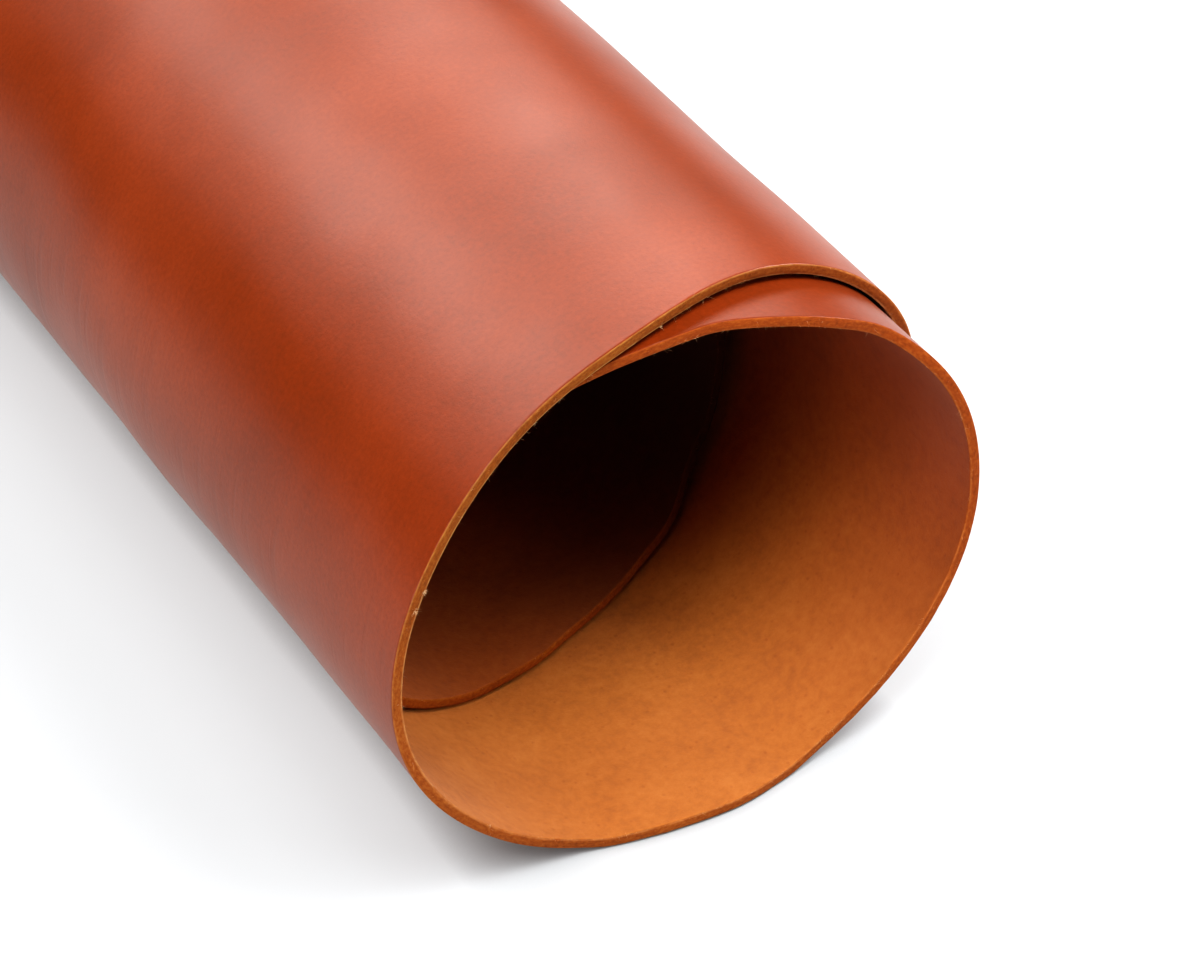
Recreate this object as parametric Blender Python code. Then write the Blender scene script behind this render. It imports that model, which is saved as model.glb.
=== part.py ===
"""A leather side rolled up with its grain outside, lying on a level surface.

Metres, +Z up. The roll's axis runs along Y: the open mouth that shows the cut edge winding
inwards looks towards -Y, and the straight back edge of the side lies flush at the +Y end.
The origin is on the surface, under the middle of the roll.

Places around the roll are counted in quarter turns: 0 is the right side (+X), 1 the top,
2 the left, 3 the bottom, 4 the right side again one layer further in, and so on.
"""

import bpy
import numpy as np

# Driving dimensions of the side and of its roll
THICKNESS = 0.0036
SIDE_WIDTH = 1.05
ROLL_RADIUS = 0.105
OUTER_END = -0.28
INNER_END = 11.3

# Shape of the roll's section, as shares of the radius
WIDER_THAN_TALL = 0.062
LEAN = 0.013
THREE_SIDED = -0.006
SIDEWAYS = -0.0028

# How far each quarter turn lies inside the section above
TURNS = (
    # quarter turn, inset
    (-0.5, -0.0039),
    (0.0, -0.0006),
    (1.0, 0.0020),
    (2.0, 0.0044),
    (3.0, 0.0076),
    (4.0, 0.0051),
    (5.0, 0.0076),
    (6.0, 0.0099),
    (7.0, 0.0136),
    (8.0, 0.0206),
    (9.0, 0.0170),
    (10.0, 0.0182),
    (11.0, 0.0205),
    (12.0, 0.0262),
)

# The flat on which the roll lies, and the outer end that springs away from it
FLAT_DEPTH = 0.0034
FLAT_BLEND = 0.0010
INNER_BLEND = 0.0060
TAIL_LIFT = 0.0045
TAIL_REACH = 0.75

# At the mouth the leather curls off the flat and its outer turn draws in a little
CURL_HEIGHT = 0.0008
DRAW_IN = 0.0016
DRAW_IN_PLACE = 0.36
DRAW_IN_SPREAD = 0.60
EDGE_REACH = 0.07

# Outline of the side: a bowed edge at the mouth, a straight back edge, rounded corners
BOW_RADIUS = 2.03
BOW_CENTRE = 0.55
BACK_WANDER = 0.004
BACK_WAVE = 0.70
CORNER_RADIUS = 0.055

# Where the knife wandered along the bowed edge: a depth, plus is further in, and its reach
MOUTH_WANDER = (
    # quarter turn, depth, reach in quarter turns
    (0.15, -0.0089, 0.40),
    (1.07, -0.0025, 0.21),
    (1.68, -0.0017, 0.29),
    (2.70, 0.0023, 0.14),
    (2.87, -0.0040, 0.25),
    (3.05, -0.0029, 0.38),
    (3.09, -0.0029, 0.14),
    (4.35, -0.0014, 0.36),
    (4.49, 0.0026, 0.10),
    (4.63, -0.0007, 0.10),
    (4.90, 0.0016, 0.09),
    (6.89, -0.0012, 0.09),
    (7.29, 0.0014, 0.16),
    (7.43, -0.0019, 0.10),
    (7.57, 0.0023, 0.09),
    (7.68, 0.0046, 0.51),
)

# Mesh
STEPS_PER_QUARTER = 12
CORNER_STEPS = 5
STEPS_ACROSS = 12

LEATHER_COLOUR = (0.279, 0.064, 0.024, 1.0)
LEATHER_ROUGHNESS = 0.42


def smooth_between(place, rows):
    """Cubic curve through the rows of a two-column table, read at each place."""
    at, value = np.array(rows, float).T
    slope = np.gradient(value, at)
    row = np.clip(np.searchsorted(at, place) - 1, 0, len(at) - 2)
    span = at[row + 1] - at[row]
    t = (place - at[row]) / span
    ends = value[row] * (1 + 2 * t) * (1 - t) ** 2 + value[row + 1] * t**2 * (3 - 2 * t)
    return ends + span * t * (1 - t) * (slope[row] * (1 - t) - slope[row + 1] * t)


def inset(quarter):
    return smooth_between(quarter, TURNS)


def section_radius(quarter):
    """Radius of the roll before it winds inwards: a circle, squashed and a little three-sided."""
    angle = quarter * np.pi / 2
    oval = WIDER_THAN_TALL * np.cos(2 * angle) + LEAN * np.sin(2 * angle)
    return ROLL_RADIUS * (1 + oval + THREE_SIDED * np.cos(3 * angle))


def settle(height, quarter, curl):
    """Keep each turn from sinking: the outermost lies flat at 0, the others more softly on it."""
    turn = np.maximum(np.round((quarter - 3) / 4), 0)
    level = inset(3 + 4 * turn) - inset(3) + curl
    blend = np.where(turn == 0, FLAT_BLEND, INNER_BLEND)
    near = np.maximum(blend - np.abs(height - level), 0)
    return np.maximum(height, level) + near**2 / (4 * blend)


def grain_surface(quarter, along):
    """X and Z of the grain side at a place around the roll; along is 0 at the mouth, 1 at the back."""
    angle = quarter * np.pi / 2
    to_tail = np.clip(1 - (quarter - OUTER_END) / TAIL_REACH, 0, 1)
    lift = TAIL_LIFT * along * to_tail**2
    to_mouth = np.clip(1 - along * SIDE_WIDTH / EDGE_REACH, 0, 1) ** 2
    draw_in = DRAW_IN * to_mouth * np.exp(-(((quarter - DRAW_IN_PLACE) / DRAW_IN_SPREAD) ** 2))
    radius = section_radius(quarter) - inset(quarter) + lift - draw_in
    axis_height = section_radius(3) - inset(3) - FLAT_DEPTH
    x = radius * np.cos(angle) + SIDEWAYS
    z = radius * np.sin(angle) + axis_height
    return x, settle(z, quarter, CURL_HEIGHT * to_mouth)


def wound_length(quarters):
    """Length of leather from the outer end to each place around the roll."""
    x, z = grain_surface(quarters, 0.0)
    steps = np.hypot(np.diff(x), np.diff(z))
    return np.concatenate([[0], np.cumsum(steps)])


def corner(distance):
    """How far a rounded corner draws the outline in at a distance from the end of the side."""
    inside = np.clip(CORNER_RADIUS - distance, 0, CORNER_RADIUS)
    return CORNER_RADIUS - np.sqrt(CORNER_RADIUS**2 - inside**2)


def stations():
    """Places around the roll: even steps, with finer ones where the corners are rounded."""
    steps = round((INNER_END - OUTER_END) * STEPS_PER_QUARTER)
    even = np.linspace(OUTER_END, INNER_END, steps + 1)
    fine = np.linspace(OUTER_END, INNER_END, steps * 40 + 1)
    length = wound_length(fine)
    turn = np.linspace(0, np.pi / 2, CORNER_STEPS + 1)
    near_end = CORNER_RADIUS * (1 - np.cos(turn))
    outer = np.interp(near_end, length, fine)
    inner = np.interp(length[-1] - near_end, length, fine)[::-1]
    middle = even[(even > outer[-1] + 0.04) & (even < inner[0] - 0.04)]
    return np.concatenate([outer, middle, inner])


def side_edges(quarters):
    """Y of the bowed edge at the mouth and of the back edge, at each place around the roll."""
    length = wound_length(quarters)
    corners = corner(length) + corner(length[-1] - length)
    bow = (length - BOW_CENTRE) ** 2 / (2 * BOW_RADIUS)
    for place, depth, reach in MOUTH_WANDER:
        bow = bow + depth * np.exp(-(((quarters - place) / reach) ** 2))
    wander = BACK_WANDER * (0.5 - 0.5 * np.cos(2 * np.pi * length / BACK_WAVE))
    mouth = bow - bow.min() - SIDE_WIDTH / 2 + corners
    back = SIDE_WIDTH / 2 - wander - corners
    return mouth, back


def sheet_mesh(name):
    """The grain surface as a grid of quads, row by row from the mouth to the back edge."""
    quarters = stations()
    mouth, back = side_edges(quarters)
    share = np.linspace(0, 1, STEPS_ACROSS + 1)[:, None]
    y = mouth + share * (back - mouth)
    x, z = grain_surface(quarters[None, :], y / SIDE_WIDTH + 0.5)
    points = np.stack([x, y, z], axis=-1).reshape(-1, 3)
    columns = len(quarters)
    first = np.arange(STEPS_ACROSS)[:, None] * columns + np.arange(columns - 1)
    corners = [first, first + columns, first + columns + 1, first + 1]
    faces = np.stack(corners, axis=-1).reshape(-1, 4)
    mesh = bpy.data.meshes.new(name)
    mesh.from_pydata(points.tolist(), [], faces.tolist())
    mesh.update()
    return mesh


def leather_material():
    material = bpy.data.materials.new("waxed_leather")
    material.use_nodes = True
    shader = material.node_tree.nodes["Principled BSDF"]
    shader.inputs["Base Color"].default_value = LEATHER_COLOUR
    shader.inputs["Roughness"].default_value = LEATHER_ROUGHNESS
    shader.inputs["Metallic"].default_value = 0.0
    return material


def add_leather_side():
    """The one piece: the rolled sheet, thickened inwards from its grain side."""
    mesh = sheet_mesh("leather_side")
    mesh.materials.append(leather_material())
    side = bpy.data.objects.new("leather_side", mesh)
    bpy.context.scene.collection.objects.link(side)
    body = side.modifiers.new("body", "SOLIDIFY")
    body.thickness = THICKNESS
    body.offset = -1
    body.use_even_offset = True
    mesh.shade_smooth()
    mesh.set_sharp_from_angle(angle=np.radians(40))
    return side


def main():
    for obj in list(bpy.data.objects):
        bpy.data.objects.remove(obj)
    add_leather_side()


main()
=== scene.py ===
import bpy
import numpy as np
from bpy.props import FloatProperty, FloatVectorProperty, PointerProperty
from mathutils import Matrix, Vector


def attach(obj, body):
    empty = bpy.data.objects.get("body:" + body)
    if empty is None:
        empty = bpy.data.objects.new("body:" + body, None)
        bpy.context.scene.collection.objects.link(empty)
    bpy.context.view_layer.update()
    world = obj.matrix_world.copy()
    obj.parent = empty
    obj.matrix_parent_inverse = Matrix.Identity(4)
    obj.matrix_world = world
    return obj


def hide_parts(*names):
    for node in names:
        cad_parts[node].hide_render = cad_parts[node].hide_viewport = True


# A side of waxed leather, rolled up with its grain outside and lying on a pale floor.
#
# Metres, +Z up. The roll's axis runs along Y and its open mouth looks towards -Y. Places
# around the roll are counted in quarter turns: 0 is the right side (+X), 1 the top, 2 the
# left, 3 the bottom, 4 the right side again one layer further in, and so on.

bl_info = {
    "name": "Rolled Leather Side",
    "version": (1, 0, 0),
    "blender": (4, 5, 0),
    "location": "3D View > Sidebar > Leather",
    "description": "Builds a rolled side of waxed leather on a pale floor",
    "category": "Object",
}

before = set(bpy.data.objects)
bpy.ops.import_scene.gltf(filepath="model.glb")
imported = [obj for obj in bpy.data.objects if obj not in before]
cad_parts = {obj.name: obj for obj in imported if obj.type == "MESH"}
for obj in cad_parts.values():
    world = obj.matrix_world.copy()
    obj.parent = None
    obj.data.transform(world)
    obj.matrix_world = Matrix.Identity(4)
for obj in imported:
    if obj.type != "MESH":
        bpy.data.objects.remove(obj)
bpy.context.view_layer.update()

# Shape of the roll's section, as in the solid
OUTER_END = -0.28
INNER_END = 11.3
WIDER_THAN_TALL = 0.062
LEAN = 0.013
THREE_SIDED = -0.006
SIDEWAYS = -0.0028

# How far each quarter turn lies inside the section above
TURNS = (
    # quarter turn, inset
    (-0.5, -0.0039),
    (0.0, -0.0006),
    (1.0, 0.0020),
    (2.0, 0.0044),
    (3.0, 0.0076),
    (4.0, 0.0051),
    (5.0, 0.0076),
    (6.0, 0.0099),
    (7.0, 0.0136),
    (8.0, 0.0206),
    (9.0, 0.0170),
    (10.0, 0.0182),
    (11.0, 0.0205),
    (12.0, 0.0262),
)

# The flat on which the roll lies, and the outer end that springs away from it
FLAT_DEPTH = 0.0034
FLAT_BLEND = 0.0010
INNER_BLEND = 0.0060
TAIL_LIFT = 0.0045
TAIL_REACH = 0.75

# At the mouth the leather curls off the flat and its outer turn draws in a little
CURL_HEIGHT = 0.0008
DRAW_IN = 0.0016
DRAW_IN_PLACE = 0.36
DRAW_IN_SPREAD = 0.60
EDGE_REACH = 0.07

# Outline of the side: a bowed edge at the mouth, a straight back edge, rounded corners
BOW_RADIUS = 2.03
BOW_CENTRE = 0.55
BACK_WANDER = 0.004
BACK_WAVE = 0.70
CORNER_RADIUS = 0.055

# Where the knife wandered along the bowed edge: a depth, plus is further in, and its reach
MOUTH_WANDER = (
    # quarter turn, depth, reach in quarter turns
    (0.15, -0.0089, 0.40),
    (1.07, -0.0025, 0.21),
    (1.68, -0.0017, 0.29),
    (2.70, 0.0023, 0.14),
    (2.87, -0.0040, 0.25),
    (3.05, -0.0029, 0.38),
    (3.09, -0.0029, 0.14),
    (4.35, -0.0014, 0.36),
    (4.49, 0.0026, 0.10),
    (4.63, -0.0007, 0.10),
    (4.90, 0.0016, 0.09),
    (6.89, -0.0012, 0.09),
    (7.29, 0.0014, 0.16),
    (7.43, -0.0019, 0.10),
    (7.57, 0.0023, 0.09),
    (7.68, 0.0046, 0.51),
)

# Grid of the sheet: steps along its length and rows across it, closest near the cut edges
COLUMN_STEP = 0.0034
CORNER_STEPS = 14
EDGE_ROWS = (0.0, 0.0008, 0.0018, 0.0032, 0.0052, 0.008, 0.012, 0.017, 0.024, 0.033)
ROWS_BETWEEN = 62

# Soft unevenness of the leather: a wavelength, its height and a seed for its directions
UNEVENNESS = (
    # wavelength, height, seed
    (0.210, 0.00042, 3),
    (0.095, 0.00022, 11),
    (0.055, 0.00009, 23),
)

# Section of the cut edge, from the grain corner at 0 to the flesh corner at 1
EDGE_PLACES = (0.03, 0.09, 0.22, 0.40, 0.60, 0.80, 0.92, 0.98)
EDGE_ROUND = 0.00030
EDGE_RAGGED = 0.00007

# Loose fibres along the cut edge: how many a metre, their shortest, longest and thickness
FIBRES_PER_METRE = 620
FIBRE_LENGTHS = (0.00045, 0.0019)
FIBRE_WIDTH = 0.00007
FIBRE_RINGS = 4
# The share of them that grows at the flesh corner, and how near it: a share of the thickness
FLESH_CORNER_SHARE = 0.72
FLESH_CORNER_DEPTH = 0.10
# Beyond this way round the edge only a few are left
INNER_FIBRES = 0.95
INNER_FIBRES_LEFT = 0.3

# Shreds that the knife left on the edge at the mouth: tangles of thicker fibres
SHREDS = (
    # quarter turn, depth in the edge, length, fibres
    (1.75, 0.85, 0.0012, 44),
    (1.79, 0.65, 0.0013, 44),
    (1.02, 1.00, 0.0011, 10),
    (1.36, 0.95, 0.0010, 8),
    (2.42, 0.96, 0.0012, 9),
    (5.21, 0.80, 0.0010, 8),
    (4.95, 0.90, 0.0012, 10),
    (5.60, 0.95, 0.0010, 8),
)
SHRED_WIDTH = 0.00013

# Seeds of the raggedness of the cut edge and of its loose fibres
EDGE_SEED = 5
FIBRE_SEED = 17

# Painted shade inside the roll, where the flesh side and the cut edge lie in shadow: shades that follow on
FLESH_PAINTED_SHADE = (
    # from, to (metres from the outer end), shade
    (0.55, 0.71, "CB9545"),
    (0.90, 1.04, "E0C6B0"),
    (1.10, 1.24, "70635E"),
)
EDGE_PAINTED_SHADE = (
    # from, to (metres round the edge from the outer end), shade
    (0.62, 0.72, "FFEAC8"),
    (0.95, 1.05, "FFFDC6"),
    (1.225, 1.29, "817C70"),
)
EDGE_LEFT_TINT = "E8F1DE"
WHITE = (1, 1, 1, 1)

# Camera: where it stands, what it looks at, and its lens on a 36 mm sensor
CAMERA_PLACE = (-0.5177, -1.3023, 0.9096)
CAMERA_TARGET = (-0.0256, -0.49, 0.1271)
CAMERA_LENS = 120.0
SENSOR_WIDTH = 36.0

# Soft white lights: five over the far end, whose reflections lie along the top of the roll,
# four in front, which light the flesh inside the mouth and leave its depth dark, and one on
# each side, which light the walls
LIGHTS = (
    # name, place, width and height, power in watts
    ("back_right", (1.34, 1.10, 1.09), (0.7, 0.9), 4.5),
    ("back_high_right", (0.83, 1.10, 1.55), (0.7, 0.9), 7.9),
    ("back_high", (0.14, 1.10, 1.77), (0.7, 0.9), 5.5),
    ("back_high_left", (-0.43, 1.10, 1.72), (0.7, 0.9), 10.6),
    ("back_left", (-1.06, 1.10, 1.39), (0.7, 0.9), 3.5),
    ("front_right", (1.30, -2.10, 1.30), (0.9, 0.9), 11.5),
    ("front_high", (0.00, -1.30, 2.40), (0.9, 0.9), 10.5),
    ("front_high_right", (1.10, -1.20, 2.00), (0.9, 0.9), 25.0),
    ("front_high_left", (-1.00, -1.10, 2.10), (0.9, 0.9), 24.5),
    ("left", (-2.10, -1.10, 0.80), (0.9, 0.9), 16.0),
    ("right", (2.30, -0.40, 1.20), (0.9, 0.9), 31.0),
)
LIGHT_AIM = (0.0, -0.3, 0.1)

# Floor: its corners, the strength of the light through it, and the painted contact shadow that dims it near the
# roll
FLOOR_CORNERS = ((-6, -6, 0), (6, -6, 0), (6, 8, 0), (-6, 8, 0))
FLOOR_COLOUR = "9EA1A3"
FLOOR_GLOW = 0.315
PAINTED_SHADOW_REACH = 0.022
PAINTED_SHADOW_POWER = 1.2


def linear(hex_colour):
    """Linear red, green and blue of an sRGB hex colour: the usual sRGB curve, undone."""
    share = np.array([int(hex_colour[i : i + 2], 16) for i in (0, 2, 4)]) / 255
    return tuple(np.where(share <= 0.04045, share / 12.92, ((share + 0.055) / 1.055) ** 2.4))


def smooth_between(place, rows):
    """Cubic curve through the rows of a two-column table, read at each place."""
    at, value = np.array(rows, float).T
    slope = np.gradient(value, at)
    row = np.clip(np.searchsorted(at, place) - 1, 0, len(at) - 2)
    span = at[row + 1] - at[row]
    t = (place - at[row]) / span
    ends = value[row] * (1 + 2 * t) * (1 - t) ** 2 + value[row + 1] * t**2 * (3 - 2 * t)
    return ends + span * t * (1 - t) * (slope[row] * (1 - t) - slope[row + 1] * t)


def inset(quarter):
    """How far a place around the roll lies inside its section, from the table of turns."""
    return smooth_between(quarter, TURNS)


def section_radius(quarter, size):
    """Radius of the roll before it winds inwards: a circle, squashed and a little three-sided."""
    angle = quarter * np.pi / 2
    oval = WIDER_THAN_TALL * np.cos(2 * angle) + LEAN * np.sin(2 * angle)
    return size.roll_radius * (1 + oval + THREE_SIDED * np.cos(3 * angle))


def settle(height, quarter, curl):
    """Keep each turn from sinking: the outermost lies flat at 0, the others more softly on it."""
    turn = np.maximum(np.round((quarter - 3) / 4), 0)
    level = inset(3 + 4 * turn) - inset(3) + curl
    blend = np.where(turn == 0, FLAT_BLEND, INNER_BLEND)
    near = np.maximum(blend - np.abs(height - level), 0)
    return np.maximum(height, level) + near**2 / (4 * blend)


def unevenness(length, across):
    """Height of the leather's soft unevenness: for each row of the table, the mean of a few
    sine waves that run in directions drawn from its seed, over the sheet laid flat."""
    height = 0.0
    for wave, tall, seed in UNEVENNESS:
        draw = np.random.default_rng(seed)
        for turn, phase, stretch in zip(*draw.uniform(0, 1, (3, 5))):
            way = 2 * np.pi * turn
            pace = 2 * np.pi / (wave * (0.75 + 0.6 * stretch))
            run = length * np.cos(way) + across * np.sin(way)
            height = height + tall / 2 * np.sin(pace * run + 2 * np.pi * phase)
    return height


def grain_surface(quarter, across, length, size):
    """Points of the grain side. Around the roll: the section's radius, less how far that turn
    lies inside, plus the springing outer end, less the drawn-in mouth, plus the unevenness;
    then no point is let below its turn's level. Along the roll: across is the point's own Y."""
    angle = quarter * np.pi / 2
    along = across / size.side_width + 0.5
    to_tail = np.clip(1 - (quarter - OUTER_END) / TAIL_REACH, 0, 1)
    lift = TAIL_LIFT * along * to_tail**2
    to_mouth = np.clip(1 - along * size.side_width / EDGE_REACH, 0, 1) ** 2
    near_top = np.exp(-(((quarter - DRAW_IN_PLACE) / DRAW_IN_SPREAD) ** 2))
    radius = section_radius(quarter, size) - inset(quarter) + lift - DRAW_IN * to_mouth * near_top
    radius = radius + unevenness(length, across) * size.unevenness
    axis_height = section_radius(3, size) - inset(3) - FLAT_DEPTH
    x = radius * np.cos(angle) + SIDEWAYS
    z = settle(radius * np.sin(angle) + axis_height, quarter, CURL_HEIGHT * to_mouth)
    return np.stack(np.broadcast_arrays(x, across, z), axis=-1)


def unit(vectors):
    """Each vector divided by its own length."""
    return vectors / np.linalg.norm(vectors, axis=-1, keepdims=True)


def wound_length(quarters, size):
    """Length of leather from the outer end to each place around the roll."""
    points = grain_surface(quarters, -size.side_width / 2, 0.0, size)
    steps = np.linalg.norm(np.diff(points, axis=0), axis=-1)
    return np.concatenate([[0], np.cumsum(steps)])


def corner(distance):
    """How far a rounded corner draws the outline in at a distance from the end of the side."""
    inside = np.clip(CORNER_RADIUS - distance, 0, CORNER_RADIUS)
    return CORNER_RADIUS - np.sqrt(CORNER_RADIUS**2 - inside**2)


def side_edges(quarters, length, size):
    """Y of the bowed edge at the mouth and of the back edge, at each place around the roll."""
    corners = corner(length) + corner(length[-1] - length)
    bow = (length - BOW_CENTRE) ** 2 / (2 * BOW_RADIUS)
    for place, depth, reach in MOUTH_WANDER:
        bow = bow + depth * np.exp(-(((quarters - place) / reach) ** 2))
    wander = BACK_WANDER * (0.5 - 0.5 * np.cos(2 * np.pi * length / BACK_WAVE))
    mouth = bow - bow.min() - size.side_width / 2 + corners
    back = size.side_width / 2 - wander - corners
    return mouth, back


def sheet_grid(size):
    """The grid of the sheet laid flat: for each column its place around the roll and its length
    of leather, for each point its Y. Columns are evenly spaced, and closer at the two ends;
    rows are close near the mouth and the back edge and even between."""
    places = np.linspace(OUTER_END, INNER_END, 8000)
    lengths = wound_length(places, size)
    total = lengths[-1]
    even = np.linspace(0, total, round(total / COLUMN_STEP) + 1)
    near_end = CORNER_RADIUS * (1 - np.cos(np.linspace(0, np.pi / 2, CORNER_STEPS)))
    middle = even[(even > near_end[-1] + 0.001) & (even < total - near_end[-1] - 0.001)]
    length = np.concatenate([near_end, middle, total - near_end[::-1]])
    quarters = np.interp(length, lengths, places)
    mouth, back = (np.interp(length, lengths, edge) for edge in side_edges(places, lengths, size))
    near_edge = np.array(EDGE_ROWS) / size.side_width
    between = np.linspace(near_edge[-1], 1 - near_edge[-1], ROWS_BETWEEN)
    share = np.concatenate([near_edge[:-1], between, 1 - near_edge[-2::-1]])
    across = mouth + share[:, None] * (back - mouth)
    return quarters, length, across


def sheet_skins(size):
    """Points of the grain side and, one thickness below them along the normal, of the flesh
    side. The normal is the cross product of the surface's slopes along and across the sheet."""
    quarters, length, across = sheet_grid(size)
    turn, run = np.broadcast_to(quarters, across.shape), np.broadcast_to(length, across.shape)
    grain = grain_surface(turn, across, run, size)
    step, slide = 0.004, 0.0005
    pace = np.gradient(length, quarters) * step
    round_roll = grain_surface(turn + step, across, run + pace, size)
    round_roll = round_roll - grain_surface(turn - step, across, run - pace, size)
    down_roll = grain_surface(turn, across + slide, run, size)
    down_roll = down_roll - grain_surface(turn, across - slide, run, size)
    normal = unit(np.cross(down_roll, round_roll))
    flesh = grain - size.thickness * normal
    return grain, flesh, run, across


def cut_edge(grain, flesh, loop, size):
    """Points of the cut edge between the grain and the flesh corner, all round the sheet. Each
    row stands at a share of the thickness, pushed out of the sheet by a flat-topped bulge that
    rounds both corners off, and by a raggedness drawn from a seed."""
    top, bottom = grain.reshape(-1, 3)[loop], flesh.reshape(-1, 3)[loop]
    run = np.roll(top, -1, axis=0) - np.roll(top, 1, axis=0)
    outwards = unit(np.cross(top - bottom, run))
    place = np.array(EDGE_PLACES)[:, None, None]
    bulge = EDGE_ROUND * (1 - (2 * place - 1) ** 6)
    draw = np.random.default_rng(EDGE_SEED)
    ragged = EDGE_RAGGED * draw.normal(size=(len(EDGE_PLACES), len(loop), 1)).clip(-2, 2)
    ragged = (ragged + np.roll(ragged, 1, axis=1)) / 2
    return top + place * (bottom - top) + (bulge + ragged) * outwards


def outline_loop(rows, columns):
    """Indices of a grid's outermost points, once round: mouth, inner end, back, outer end."""
    index = np.arange(rows * columns).reshape(rows, columns)
    return np.concatenate(
        [index[0, :], index[1:, -1], index[-1, -2::-1], index[-2:0:-1, 0]]
    )


def leather_mesh(name, size):
    """The closed sheet: the grain skin, the flesh skin turned over, and the cut edge between
    them. The UV map holds metres: along and across the sheet on both skins, and on the cut
    edge the way round it and the depth below the grain."""
    grain, flesh, run, across = sheet_skins(size)
    rows, columns = across.shape
    count = rows * columns
    loop = outline_loop(rows, columns)
    edge = cut_edge(grain, flesh, loop, size)
    points = np.concatenate([grain.reshape(-1, 3), flesh.reshape(-1, 3), edge.reshape(-1, 3)])
    points[:, 2] = np.maximum(points[:, 2], 0)

    first = (np.arange(rows - 1)[:, None] * columns + np.arange(columns - 1)).reshape(-1)
    quad = np.stack([first, first + columns, first + columns + 1, first + 1], axis=-1)
    inner = 2 * count + np.arange(len(EDGE_PLACES) * len(loop)).reshape(len(EDGE_PLACES), -1)
    strips = np.concatenate([loop[None], inner, loop[None] + count])
    after = np.roll(strips, -1, axis=1)
    rim = np.stack([strips[:-1], after[:-1], after[1:], strips[1:]], axis=-1).reshape(-1, 4)
    faces = np.concatenate([quad, quad[:, ::-1] + count, rim])

    flat = np.stack([run.reshape(-1), across.reshape(-1)], axis=-1)
    rim_points = grain.reshape(-1, 3)[loop]
    paces = np.linalg.norm(np.roll(rim_points, -1, axis=0) - rim_points, axis=-1)
    start = np.concatenate([[0], np.cumsum(paces)])
    depth = np.concatenate([[0], EDGE_PLACES, [1]]) * size.thickness
    low, high = np.meshgrid(depth[:-1], start[:-1], indexing="ij")
    deeper, later = np.meshgrid(depth[1:], start[1:], indexing="ij")
    ways = [(high, low), (later, low), (later, deeper), (high, deeper)]
    rim_flat = np.stack([np.stack(way, axis=-1) for way in ways], axis=2).reshape(-1, 2)
    skins = [flat[way].reshape(-1, 2) for way in (quad, quad[:, ::-1])]
    places = np.concatenate([*skins, rim_flat])

    mesh = bpy.data.meshes.new(name)
    mesh.from_pydata(points, [], faces)
    layer = mesh.uv_layers.new(name="leather")
    layer.uv.foreach_set("vector", places.astype(np.float32).reshape(-1))
    kind = np.repeat([0, 1, 2], [len(quad), len(quad), len(rim)]).astype(np.int32)
    mesh.polygons.foreach_set("material_index", kind)
    mesh.shade_smooth()
    mesh.update()
    widths = across[-1] - across[0]
    area = float(np.sum((widths[1:] + widths[:-1]) / 2 * np.diff(run[0])))
    return mesh, float(run[0, -1]), area


def tubes(root, way, bend, length, width):
    """Points and faces of tapered, curved hairs with three sides. A hair's middle line runs from
    its root: way times the share of its length, plus bend times the square of that share. Its
    rings stand across the line and shrink to a fifth at the tip."""
    share = np.linspace(0, 1, FIBRE_RINGS)[:, None]
    line = root[:, None] + length[:, None, None] * (way[:, None] * share + bend[:, None] * share**2)
    along = unit(way[:, None] + 2 * bend[:, None] * share)
    side = unit(np.cross(along, unit(bend + 0.3 * way[:, ::-1] + 0.01)[:, None]))
    up = np.cross(along, side)
    turn = np.arange(3) * 2 * np.pi / 3
    spoke = side[:, :, None] * np.cos(turn)[:, None] + up[:, :, None] * np.sin(turn)[:, None]
    radius = width[:, None, None, None] / 2 * (1 - 0.8 * share[None, :, None])
    points = (line[:, :, None] + radius * spoke).reshape(-1, 3)

    first = np.arange(len(root))[:, None, None] * (3 * FIBRE_RINGS)
    low = first + np.arange(FIBRE_RINGS - 1)[:, None] * 3 + np.arange(3)
    after = first + np.arange(FIBRE_RINGS - 1)[:, None] * 3 + (np.arange(3) + 1) % 3
    walls = np.stack([low, after, after + 3, low + 3], axis=-1).reshape(-1, 4)
    start = np.arange(len(root))[:, None] * (3 * FIBRE_RINGS)
    ends = np.concatenate([start + [2, 1, 0], start + 3 * (FIBRE_RINGS - 1) + [0, 1, 2]])
    return points, walls.tolist() + ends.tolist()


def along_edge(place, round_edge, points):
    """Points at places round the edge: each coordinate read between those of its corners."""
    return np.stack([np.interp(place, round_edge, points[:, i]) for i in range(3)], axis=-1)


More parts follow.
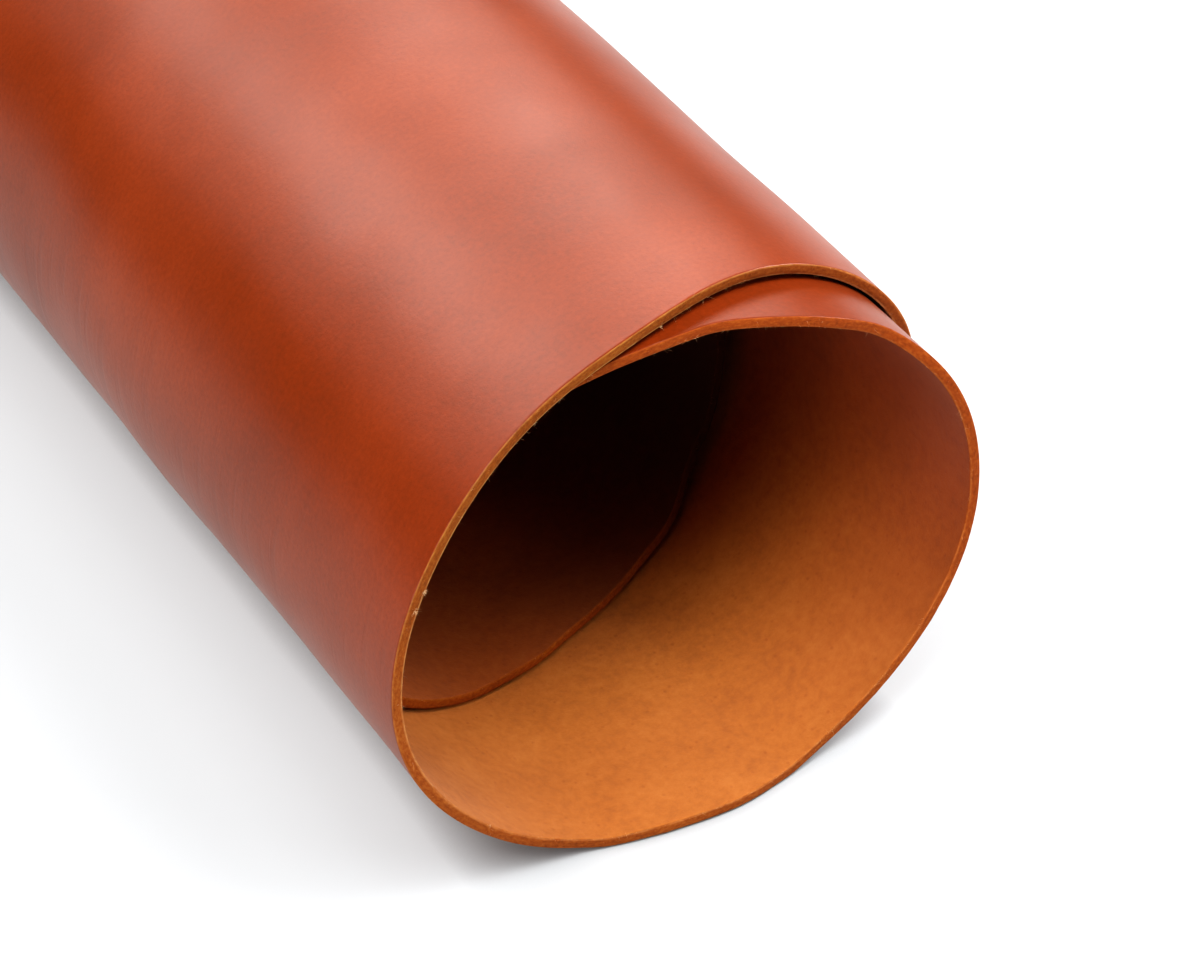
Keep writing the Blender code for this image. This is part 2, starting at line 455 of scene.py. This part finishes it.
def fibre_mesh(name, size):
    """Fibres that stand out of the cut edge all round the sheet, most of them at the flesh
    corner. They lean out of the edge and towards the flesh, each with its own random turn, and
    grow thicker in tufts where a sum of two sine waves along the edge is high."""
    grain, flesh, run, across = sheet_skins(size)
    loop = outline_loop(*across.shape)
    top, bottom = grain.reshape(-1, 3)[loop], flesh.reshape(-1, 3)[loop]
    pace = np.linalg.norm(np.roll(top, -1, axis=0) - top, axis=-1)
    round_edge = np.concatenate([[0], np.cumsum(pace)])
    draw = np.random.default_rng(FIBRE_SEED)
    count = int(FIBRES_PER_METRE * round_edge[-1] * 2)
    place = draw.uniform(0, round_edge[-1], count)
    tuft = 0.5 + 0.3 * np.sin(place / 0.0043) + 0.3 * np.sin(place / 0.0171 + 1.3)
    place = place[draw.uniform(size=count) < tuft]
    count = len(place)
    at_flesh = draw.uniform(size=count) < FLESH_CORNER_SHARE
    near_flesh = 1 - FLESH_CORNER_DEPTH * draw.uniform(size=count)
    depth = np.where(at_flesh, near_flesh, draw.uniform(0.05, 1, count))
    length = draw.uniform(*FIBRE_LENGTHS, count) * draw.uniform(0.5, 1, count)
    width = FIBRE_WIDTH * draw.uniform(0.6, 1.3, count)

    # Few fibres are left on the inner turns, where the edge was cut first
    kept = (place < INNER_FIBRES) | (draw.uniform(size=count) < INNER_FIBRES_LEFT)
    place, depth, length, width = place[kept], depth[kept], length[kept], width[kept]

    quarters = np.broadcast_to(sheet_grid(size)[0], across.shape).reshape(-1)[loop]
    at_mouth = np.arange(len(loop)) < across.shape[1]
    for quarter, deep, reach, hairs in SHREDS:
        spot = np.interp(quarter, quarters[at_mouth], round_edge[:-1][at_mouth])
        place = np.append(place, spot + draw.normal(0, reach / 5, hairs))
        depth = np.append(depth, deep + draw.normal(0, 0.03, hairs))
        length = np.append(length, reach * draw.uniform(0.6, 1.1, hairs))
        width = np.append(width, SHRED_WIDTH * draw.uniform(0.7, 1.2, hairs))

    closed = np.concatenate([top, top[:1]]), np.concatenate([bottom, bottom[:1]])
    upper, lower = (along_edge(place, round_edge, edge) for edge in closed)
    ahead = along_edge(place + 0.001, round_edge, closed[0])
    inwards = unit(lower - upper)
    onwards = unit(ahead - upper + 1e-9)
    outwards = unit(np.cross(-inwards, onwards))
    root = upper + depth.clip(0, 1)[:, None] * (lower - upper) - 0.0001 * inwards
    toss = draw.normal(size=(len(place), 3, 1))
    way = outwards * (0.75 + 0.2 * toss[:, 0]) + inwards * (0.35 + 0.4 * toss[:, 1])
    way = unit(way + onwards * 0.8 * toss[:, 2])
    bend = 0.55 * draw.normal(size=(len(place), 3))
    points, faces = tubes(root, way, bend, length, width)
    points[:, 2] = np.maximum(points[:, 2], 0)
    mesh = bpy.data.meshes.new(name)
    mesh.from_pydata(points, [], faces)
    mesh.shade_smooth()
    mesh.update()
    return mesh


def add_node(tree, kind, inputs=None, stops=None, **settings):
    """Add a node with its settings. Inputs are values, outputs to link, or nodes whose first
    output in use is linked; stops are a colour ramp's places and colours."""
    node = tree.nodes.new(kind)
    for name, value in settings.items():
        setattr(node, name, value)
    for socket, value in (inputs or {}).items():
        if isinstance(value, bpy.types.Node):
            value = next(output for output in value.outputs if output.enabled)
        if isinstance(value, bpy.types.NodeSocket):
            tree.links.new(value, node.inputs[socket])
        else:
            node.inputs[socket].default_value = value
    if stops:
        ramp = node.color_ramp.elements
        while len(ramp) < len(stops):
            ramp.new(0.5)
        for element, (place, colour) in zip(ramp, stops):
            element.position = place
            element.color = (*colour, 1)
    return node


def new_material(name, roughness, specular):
    """A material with its name, roughness and specular level, its nodes and its shader."""
    material = bpy.data.materials.new(name)
    material.use_nodes = True
    tree = material.node_tree
    shader = tree.nodes["Principled BSDF"]
    shader.inputs["Roughness"].default_value = roughness
    shader.inputs["Specular IOR Level"].default_value = specular
    return material, tree, shader


def wear(tree, shader, colour, normal):
    """Link a worked-out colour and relief to the shader."""
    for socket, node in (("Base Color", colour), ("Normal", normal)):
        tree.links.new(next(output for output in node.outputs if output.enabled), shader.inputs[socket])


def weighted(tree, *pairs):
    """Sum of values, each times its share."""
    total = None
    for value, share in pairs:
        inputs = {0: value, 1: share, 2: total or 0.0}
        total = add_node(tree, "ShaderNodeMath", inputs, operation="MULTIPLY_ADD")
    return total


def relief(tree, *layers):
    """Bumps stacked on each other: rows of a height from 0 to 1 and the metres that 1 stands for."""
    normal = None
    for height, metres in layers:
        inputs = {"Height": height, "Strength": 1.0, "Distance": metres}
        if normal:
            inputs["Normal"] = normal
        normal = add_node(tree, "ShaderNodeBump", inputs)
    return normal


def painted_shade_along_sheet(tree, colour, run, rows, fade):
    """A colour under the painted shades of a table, which follow on each other along the sheet: painted shade
    for the shadow inside the roll.
    """
    shade = WHITE
    for start, end, deeper in rows:
        share = {"Value": run, "From Min": start, "From Max": end}
        share = add_node(tree, "ShaderNodeMapRange", share, interpolation_type=fade)
        shade = {0: share, 6: shade, 7: (*linear(deeper), 1)}
        shade = add_node(tree, "ShaderNodeMix", shade, data_type="RGBA")
    colour = {0: 1.0, 6: colour, 7: shade}
    return add_node(tree, "ShaderNodeMix", colour, data_type="RGBA", blend_type="MULTIPLY")


def waxed_grain(colours):
    """Vegetable-tanned full-grain leather, drum-dyed, then waxed and rolled under a glazing
    cylinder: a smooth, closed surface with a soft sheen, clouded by the dye, with fine pores,
    and with growth wrinkles across the neck, 0.4 m from the outer end."""
    material, tree, shader = new_material("waxed_full_grain", 0.36, 0.38)
    place = add_node(tree, "ShaderNodeUVMap", uv_map="leather")
    # The dye took unevenly: clouds some 90 mm wide, and finer ones of 9 and 2 mm
    clouds = [
        add_node(
            tree, "ShaderNodeTexNoise",
            {"Vector": place, "Scale": 1 / size, "Detail": detail, "Roughness": 0.6},
        )
        for size, detail in ((0.090, 2.0), (0.009, 3.0), (0.0019, 4.0))
    ]
    depth = weighted(tree, *zip(clouds, (0.45, 0.15, 0.40)))
    dye = add_node(
        tree, "ShaderNodeValToRGB", {"Fac": depth},
        stops=[(0.36, colours.grain_dark), (0.50, colours.grain), (0.64, colours.grain_light)],
    )
    # Hair pores, about 0.9 mm apart
    pores = add_node(tree, "ShaderNodeTexVoronoi", {"Vector": place, "Scale": 1 / 0.0009})
    pit = add_node(tree, "ShaderNodeMapRange", {"Value": pores, "From Min": 0.0, "From Max": 0.35})
    dye = {0: 0.14, 6: dye, 7: pit}
    dye = add_node(tree, "ShaderNodeMix", dye, data_type="RGBA", blend_type="MULTIPLY")
    # Growth wrinkles: 6 mm apart, running along the sheet in patches of a band across it, with painted shade in
    # their creases
    run = add_node(tree, "ShaderNodeSeparateXYZ", {"Vector": place}).outputs["X"]
    rise = add_node(
        tree, "ShaderNodeMapRange", {"Value": run, "From Min": 0.24, "From Max": 0.37},
        interpolation_type="SMOOTHSTEP",
    )
    fall = {"Value": run, "From Min": 0.44, "From Max": 0.54, "To Min": 1.0, "To Max": 0.0}
    fall = add_node(tree, "ShaderNodeMapRange", fall, interpolation_type="SMOOTHSTEP")
    patches = {"Vector": place, "Scale": 1 / 0.07, "Detail": 2.0, "Roughness": 0.6}
    patches = add_node(tree, "ShaderNodeTexNoise", patches)
    patches = add_node(tree, "ShaderNodeMapRange", {"Value": patches, "From Min": 0.38, "From Max": 0.60})
    stretched = add_node(tree, "ShaderNodeMapping", {"Vector": place, "Scale": (1 / 9, 1, 1)})
    folds = {"Vector": stretched, "Scale": 1 / 0.0065, "Detail": 3.0, "Roughness": 0.5, "Distortion": 0.4}
    folds = add_node(tree, "ShaderNodeTexNoise", folds)
    crease = add_node(
        tree, "ShaderNodeMapRange", {"Value": folds, "From Min": 0.36, "From Max": 0.52},
        interpolation_type="SMOOTHSTEP",
    )
    band = add_node(tree, "ShaderNodeMath", {0: rise, 1: fall}, operation="MULTIPLY")
    band = add_node(tree, "ShaderNodeMath", {0: band, 1: patches}, operation="MULTIPLY")
    wrinkle_relief_and_shade = add_node(tree, "ShaderNodeMix", {0: band, 6: WHITE, 7: crease}, data_type="RGBA")
    # Painted shade: the grain is up to a tenth darker in the wrinkles' creases
    dye = {0: 0.10, 6: dye, 7: wrinkle_relief_and_shade}
    dye = add_node(tree, "ShaderNodeMix", dye, data_type="RGBA", blend_type="MULTIPLY")
    # A few pale scuffs, about a millimetre across and 45 mm apart
    scuffs = add_node(tree, "ShaderNodeTexVoronoi", {"Vector": place, "Scale": 1 / 0.045})
    scuffs = {"Value": scuffs, "From Min": 0.006, "From Max": 0.013, "To Min": 0.35, "To Max": 0.0}
    scuffs = add_node(tree, "ShaderNodeMapRange", scuffs)
    dye = add_node(tree, "ShaderNodeMix", {0: scuffs, 6: dye, 7: (*colours.burr, 1)}, data_type="RGBA")
    # The wax is rubbed thinner in places 40 mm wide, so the gloss varies
    wax = {"Vector": place, "Scale": 1 / 0.040, "Detail": 1.5, "Roughness": 0.6}
    wax = add_node(tree, "ShaderNodeTexNoise", wax)
    gloss = {"Value": wax, "From Min": 0.3, "From Max": 0.7, "To Min": 0.34, "To Max": 0.39}
    gloss = add_node(tree, "ShaderNodeMapRange", gloss)
    tree.links.new(gloss.outputs["Result"], shader.inputs["Roughness"])
    # Relief: soft waves, wrinkles, a fine grain of 1.8 mm cells, and pores of 0.01 mm
    waves = {"Vector": place, "Scale": 1 / 0.048, "Detail": 1.5, "Roughness": 0.4}
    waves = add_node(tree, "ShaderNodeTexNoise", waves)
    cells = {"Vector": place, "Scale": 1 / 0.0018, "Detail": 4.0, "Roughness": 0.6}
    cells = add_node(tree, "ShaderNodeTexNoise", cells)
    normal = relief(tree, (waves, 0.00026), (wrinkle_relief_and_shade, 0.00004), (cells, 0.00006), (pit, 0.00001))
    wear(tree, shader, dye, normal)
    shader.inputs["IOR"].default_value = 1.5
    shader.inputs["Coat Weight"].default_value = 0.12
    shader.inputs["Coat Roughness"].default_value = 0.30
    return material


def suede_flesh(colours):
    """The flesh side of the same leather, split and lightly buffed: matt, with a short nap of
    loose fibres whose direction changes in patches, so it looks cloudy and speckled."""
    material, tree, shader = new_material("flesh_side_suede", 0.9, 0.2)
    place = add_node(tree, "ShaderNodeUVMap", uv_map="leather")
    # Patches of the nap some 60 and 14 mm wide, and the nap itself, 3.5 mm
    patches, tufts, nap = (
        add_node(
            tree, "ShaderNodeTexNoise",
            {"Vector": place, "Scale": 1 / size, "Detail": detail, "Roughness": roughness},
        )
        for size, detail, roughness in ((0.060, 4.0, 0.6), (0.014, 5.0, 0.6), (0.0035, 7.0, 0.7))
    )
    depth = weighted(tree, (patches, 0.30), (tufts, 0.30), (nap, 0.40))
    colour = add_node(
        tree, "ShaderNodeValToRGB", {"Fac": depth},
        stops=[(0.34, colours.flesh_dark), (0.50, colours.flesh), (0.66, colours.flesh_light)],
    )
    # Darker specks, where short fibres part: 5 mm apart
    specks = add_node(tree, "ShaderNodeTexVoronoi", {"Vector": place, "Scale": 1 / 0.005})
    specks = {"Value": specks, "From Min": 0.05, "From Max": 0.17, "To Min": 0.22, "To Max": 0.0}
    specks = add_node(tree, "ShaderNodeMapRange", specks)
    colour = {0: specks, 6: colour, 7: (*colours.flesh_dark, 1)}
    colour = add_node(tree, "ShaderNodeMix", colour, data_type="RGBA", blend_type="MULTIPLY")
    # Near the cut edge it is duller; from 0.6 m on it carries painted shade for the shadow inside the roll,
    # # which makes it redder, and towards the inner end darker too
    sheet = add_node(tree, "ShaderNodeSeparateXYZ", {"Vector": place})
    by_cut_edge = {"Value": sheet.outputs["Y"], "From Min": -0.495, "From Max": -0.44, "To Min": 1.0, "To Max": 0.0}
    by_cut_edge = add_node(tree, "ShaderNodeMapRange", by_cut_edge, interpolation_type="SMOOTHSTEP")
    colour = {0: by_cut_edge, 6: colour, 7: (*colours.flesh_by_cut_edge, 1)}
    colour = add_node(tree, "ShaderNodeMix", colour, data_type="RGBA", blend_type="MULTIPLY")
    colour = painted_shade_along_sheet(tree, colour, sheet.outputs["X"], FLESH_PAINTED_SHADE, "SMOOTHSTEP")
    # Single fibres, 0.8 mm: coarser than the real ones, which are too fine to show
    fibres = {"Vector": place, "Scale": 1 / 0.0008, "Detail": 4.0, "Roughness": 0.7}
    fibres = add_node(tree, "ShaderNodeTexNoise", fibres)
    wear(tree, shader, colour, relief(tree, (fibres, 0.00018), (nap, 0.0002)))
    shader.inputs["Sheen Weight"].default_value = 0.12
    shader.inputs["Sheen Roughness"].default_value = 0.6
    return material


def cut_edge_fibre(colours):
    """The raw cut edge: the fibre bundle of the hide's middle layer, sliced by a knife and left
    undressed, brown and matt, with a pale burr of torn fibres along both corners."""
    material, tree, shader = new_material("raw_cut_edge", 0.85, 0.3)
    place = add_node(tree, "ShaderNodeUVMap", uv_map="leather")
    # Fibre bundles 1.1 mm wide and nearly twice as long, in a tone that drifts over 50 mm
    bundle = add_node(tree, "ShaderNodeMapping", {"Vector": place, "Scale": (1 / 1.8, 1, 1)})
    bundle = {"Vector": bundle, "Scale": 1 / 0.0011, "Detail": 5.0, "Roughness": 0.7}
    bundle = add_node(tree, "ShaderNodeTexNoise", bundle)
    drift = {"Vector": place, "Scale": 1 / 0.05, "Detail": 3.0, "Roughness": 0.6}
    drift = add_node(tree, "ShaderNodeTexNoise", drift)
    colour = add_node(
        tree, "ShaderNodeValToRGB", {"Fac": weighted(tree, (bundle, 0.7), (drift, 0.3))},
        stops=[(0.36, colours.edge_dark), (0.50, colours.edge), (0.66, colours.edge_light)],
    )
    # Burrs in broken dashes, 3 mm wide and longer than that, fewer further round the edge
    rim = add_node(tree, "ShaderNodeSeparateXYZ", {"Vector": place})
    around, depth = rim.outputs["X"], rim.outputs["Y"]
    dashes = add_node(tree, "ShaderNodeMapping", {"Vector": place, "Scale": (1 / 2.5, 1, 1)})
    dashes = {"Vector": dashes, "Scale": 1 / 0.0030, "Detail": 4.0, "Roughness": 0.7}
    dashes = add_node(tree, "ShaderNodeTexNoise", dashes)
    dashes = add_node(tree, "ShaderNodeMapRange", {"Value": dashes, "From Min": 0.34, "From Max": 0.54})
    for start, end, left in ((0.38, 0.48, 0.35), (0.7, 1.0, 0.25)):
        fewer = {"Value": around, "From Min": start, "From Max": end, "To Min": 1.0, "To Max": left}
        fewer = add_node(tree, "ShaderNodeMapRange", fewer)
        dashes = add_node(tree, "ShaderNodeMath", {0: dashes, 1: fewer}, operation="MULTIPLY")
    # They are 0.6 mm wide at the grain corner and 0.8 mm at the flesh corner
    for start, end, at_start, at_end in ((0.0002, 0.0006, 0.38, 0.0), (0.0028, 0.0033, 0.0, 0.95)):
        corner_burr = {"Value": depth, "From Min": start, "From Max": end, "To Min": at_start, "To Max": at_end}
        corner_burr = add_node(tree, "ShaderNodeMapRange", corner_burr)
        share = add_node(tree, "ShaderNodeMath", {0: corner_burr, 1: dashes}, operation="MULTIPLY")
        colour = add_node(tree, "ShaderNodeMix", {0: share, 6: colour, 7: (*colours.burr, 1)}, data_type="RGBA")
    # Painted shade on the edge of the inner turns, deep in the roll where it lies in shadow
    colour = painted_shade_along_sheet(tree, colour, around, EDGE_PAINTED_SHADE, "LINEAR")
    # Darker on the left of the mouth, from 0.17 to 0.44 m round the edge
    rise = add_node(tree, "ShaderNodeMapRange", {"Value": around, "From Min": 0.17, "From Max": 0.25})
    fall = {"Value": around, "From Min": 0.36, "From Max": 0.44, "To Min": 1.0, "To Max": 0.0}
    fall = add_node(tree, "ShaderNodeMapRange", fall)
    left_of_mouth = add_node(tree, "ShaderNodeMath", {0: rise, 1: fall}, operation="MULTIPLY")
    colour = {0: left_of_mouth, 6: colour, 7: (*linear(EDGE_LEFT_TINT), 1)}
    colour = add_node(tree, "ShaderNodeMix", colour, data_type="RGBA", blend_type="MULTIPLY")
    wear(tree, shader, colour, relief(tree, (bundle, 0.00028)))
    return material


def loose_fibre(colours):
    """Single fibres of the raw hide, undyed and pale."""
    material, tree, shader = new_material("loose_hide_fibre", 0.7, 0.3)
    shader.inputs["Base Color"].default_value = (*colours.fibre, 1)
    return material


def lit_floor():
    """The pale studio floor: a shooting table of matt white acrylic, lit through from below. Its
    glow carries a painted contact shadow: ambient occlusion dims it where the roll all but touches it."""
    material, tree, shader = new_material("white_acrylic_table", 0.9, 0.2)
    # Painted contact shadow: the floor's glow is dimmed by ambient occlusion near the roll
    painted_shadow_ao = add_node(tree, "ShaderNodeAmbientOcclusion", {"Distance": PAINTED_SHADOW_REACH}, samples=8).outputs["AO"]
    glow_under_painted_shadow = add_node(tree, "ShaderNodeMath", {0: painted_shadow_ao, 1: PAINTED_SHADOW_POWER}, operation="POWER")
    glow = add_node(tree, "ShaderNodeMath", {0: glow_under_painted_shadow, 1: FLOOR_GLOW}, operation="MULTIPLY")
    tree.links.new(glow.outputs["Value"], shader.inputs["Emission Strength"])
    shader.inputs["Base Color"].default_value = (*linear(FLOOR_COLOUR), 1)
    shader.inputs["Emission Color"].default_value = WHITE
    return material


class LeatherSizes(bpy.types.PropertyGroup):
    """Sizes of the side and of its roll."""

    thickness: FloatProperty(
        name="Thickness", description="Thickness of the leather",
        default=0.0036, min=0.001, max=0.006, subtype="DISTANCE", unit="LENGTH", precision=4,
    )
    side_width: FloatProperty(
        name="Side width", description="Width of the side from belly to back, along the roll",
        default=1.05, min=0.5, max=1.4, subtype="DISTANCE", unit="LENGTH",
    )
    roll_radius: FloatProperty(
        name="Roll radius", description="Mean outside radius of the roll",
        default=0.105, min=0.06, max=0.2, subtype="DISTANCE", unit="LENGTH", precision=4,
    )
    unevenness: FloatProperty(
        name="Unevenness", description="How much of the leather's soft unevenness shows",
        default=1.0, min=0.0, max=2.0, subtype="FACTOR",
    )


class LeatherColours(bpy.types.PropertyGroup):
    """Colours of the three surfaces of the leather."""

    grain: FloatVectorProperty(
        name="Grain", description="Dyed grain side",
        size=3, min=0, max=1, subtype="COLOR", default=linear("86380F"),
    )
    grain_dark: FloatVectorProperty(
        name="Grain, deep", description="Where the grain took more dye",
        size=3, min=0, max=1, subtype="COLOR", default=linear("7B330D"),
    )
    grain_light: FloatVectorProperty(
        name="Grain, pale", description="Where the grain took less dye",
        size=3, min=0, max=1, subtype="COLOR", default=linear("913F15"),
    )
    flesh: FloatVectorProperty(
        name="Flesh", description="Suede-like flesh side",
        size=3, min=0, max=1, subtype="COLOR", default=linear("C87F37"),
    )
    flesh_dark: FloatVectorProperty(
        name="Flesh, deep", description="Specks in the flesh side's nap",
        size=3, min=0, max=1, subtype="COLOR", default=linear("B57031"),
    )
    flesh_light: FloatVectorProperty(
        name="Flesh, pale", description="Raised nap of the flesh side",
        size=3, min=0, max=1, subtype="COLOR", default=linear("D38C43"),
    )
    flesh_by_cut_edge: FloatVectorProperty(
        name="Flesh, handled", description="Shade over the flesh side near the cut edge",
        size=3, min=0, max=1, subtype="COLOR", default=linear("E6E2EC"),
    )
    edge: FloatVectorProperty(
        name="Edge", description="Raw cut edge",
        size=3, min=0, max=1, subtype="COLOR", default=linear("9B5218"),
    )
    edge_dark: FloatVectorProperty(
        name="Edge, deep", description="Gaps between the fibre bundles",
        size=3, min=0, max=1, subtype="COLOR", default=linear("824110"),
    )
    edge_light: FloatVectorProperty(
        name="Edge, pale", description="Cut fibre ends",
        size=3, min=0, max=1, subtype="COLOR", default=linear("B06C2C"),
    )
    fibre: FloatVectorProperty(
        name="Loose fibre", description="Single undyed fibres along the cut edge",
        size=3, min=0, max=1, subtype="COLOR", default=linear("D9B48C"),
    )
    burr: FloatVectorProperty(
        name="Burr", description="Torn grain along the outer corner",
        size=3, min=0, max=1, subtype="COLOR", default=linear("CC9660"),
    )


class LEATHER_OT_fibres(bpy.types.Operator):
    """Build the loose fibres and shreds along the cut edge"""

    bl_idname = "leather.fibres"
    bl_label = "Loose fibres"

    def execute(self, context):
        mesh = fibre_mesh("loose_fibres", context.scene.leather_sizes)
        fibres = bpy.data.objects.new("loose_fibres", mesh)
        fibres.data.materials.append(loose_fibre(context.scene.leather_colours))
        context.scene.collection.objects.link(fibres)
        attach(fibres, "root")
        return {"FINISHED"}


class LEATHER_OT_side(bpy.types.Operator):
    """Build the rolled side of leather as one closed sheet"""

    bl_idname = "leather.side"
    bl_label = "Rolled side"

    def execute(self, context):
        size, colours = context.scene.leather_sizes, context.scene.leather_colours
        mesh, length, area = leather_mesh("rolled_side", size)
        for material in (waxed_grain(colours), suede_flesh(colours), cut_edge_fibre(colours)):
            mesh.materials.append(material)
        side = bpy.data.objects.new("rolled_side", mesh)
        context.scene.collection.objects.link(side)
        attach(side, "root")
        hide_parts("leather_side")
        return {"FINISHED"}


class LEATHER_OT_stage(bpy.types.Operator):
    """Lay the pale floor and set up the soft lights and the camera"""

    bl_idname = "leather.stage"
    bl_label = "Floor, lights and camera"

    def execute(self, context):
        scene = context.scene
        mesh = bpy.data.meshes.new("floor")
        mesh.from_pydata(FLOOR_CORNERS, [], [(0, 1, 2, 3)])
        mesh.materials.append(lit_floor())
        floor = bpy.data.objects.new("floor", mesh)
        scene.collection.objects.link(floor)
        for name, place, size, power in LIGHTS:
            light = bpy.data.lights.new(name, "AREA")
            light.shape = "RECTANGLE"
            light.size, light.size_y = size
            light.energy = power
            lamp = bpy.data.objects.new(name, light)
            lamp.location = place
            aim = Vector(LIGHT_AIM) - Vector(place)
            lamp.rotation_euler = aim.to_track_quat("-Z", "Y").to_euler()
            scene.collection.objects.link(lamp)
        world = bpy.data.worlds.new("studio")
        world.use_nodes = True
        world.node_tree.nodes["Background"].inputs["Strength"].default_value = 0.0
        scene.world = world
        lens = bpy.data.cameras.new("camera")
        lens.lens = CAMERA_LENS
        lens.sensor_width = SENSOR_WIDTH
        lens.sensor_fit = "HORIZONTAL"
        camera = bpy.data.objects.new("camera", lens)
        camera.location = CAMERA_PLACE
        look = Vector(CAMERA_TARGET) - Vector(CAMERA_PLACE)
        camera.rotation_euler = look.to_track_quat("-Z", "Y").to_euler()
        scene.collection.objects.link(camera)
        scene.camera = camera
        scene.view_settings.view_transform = "Standard"
        scene.view_settings.look = "High Contrast"
        return {"FINISHED"}


class LEATHER_PT_panel(bpy.types.Panel):
    bl_idname = "LEATHER_PT_panel"
    bl_label = "Rolled Leather Side"
    bl_space_type = "VIEW_3D"
    bl_region_type = "UI"
    bl_category = "Leather"

    def draw(self, context):
        layout = self.layout
        for group in (context.scene.leather_sizes, context.scene.leather_colours):
            box = layout.box()
            for name in group.__annotations__:
                box.prop(group, name)
        for operator in OPERATORS:
            layout.operator(operator.bl_idname)


OPERATORS = (LEATHER_OT_fibres, LEATHER_OT_side, LEATHER_OT_stage)
CLASSES = (LeatherSizes, LeatherColours, *OPERATORS, LEATHER_PT_panel)


def register():
    for cls in CLASSES:
        bpy.utils.register_class(cls)
    bpy.types.Scene.leather_sizes = PointerProperty(type=LeatherSizes)
    bpy.types.Scene.leather_colours = PointerProperty(type=LeatherColours)


def unregister():
    del bpy.types.Scene.leather_colours
    del bpy.types.Scene.leather_sizes
    for cls in reversed(CLASSES):
        bpy.utils.unregister_class(cls)


def main():
    register()
    bpy.ops.leather.stage()
    bpy.ops.leather.fibres()
    bpy.ops.leather.side()


if __name__ == "__main__":
    main()
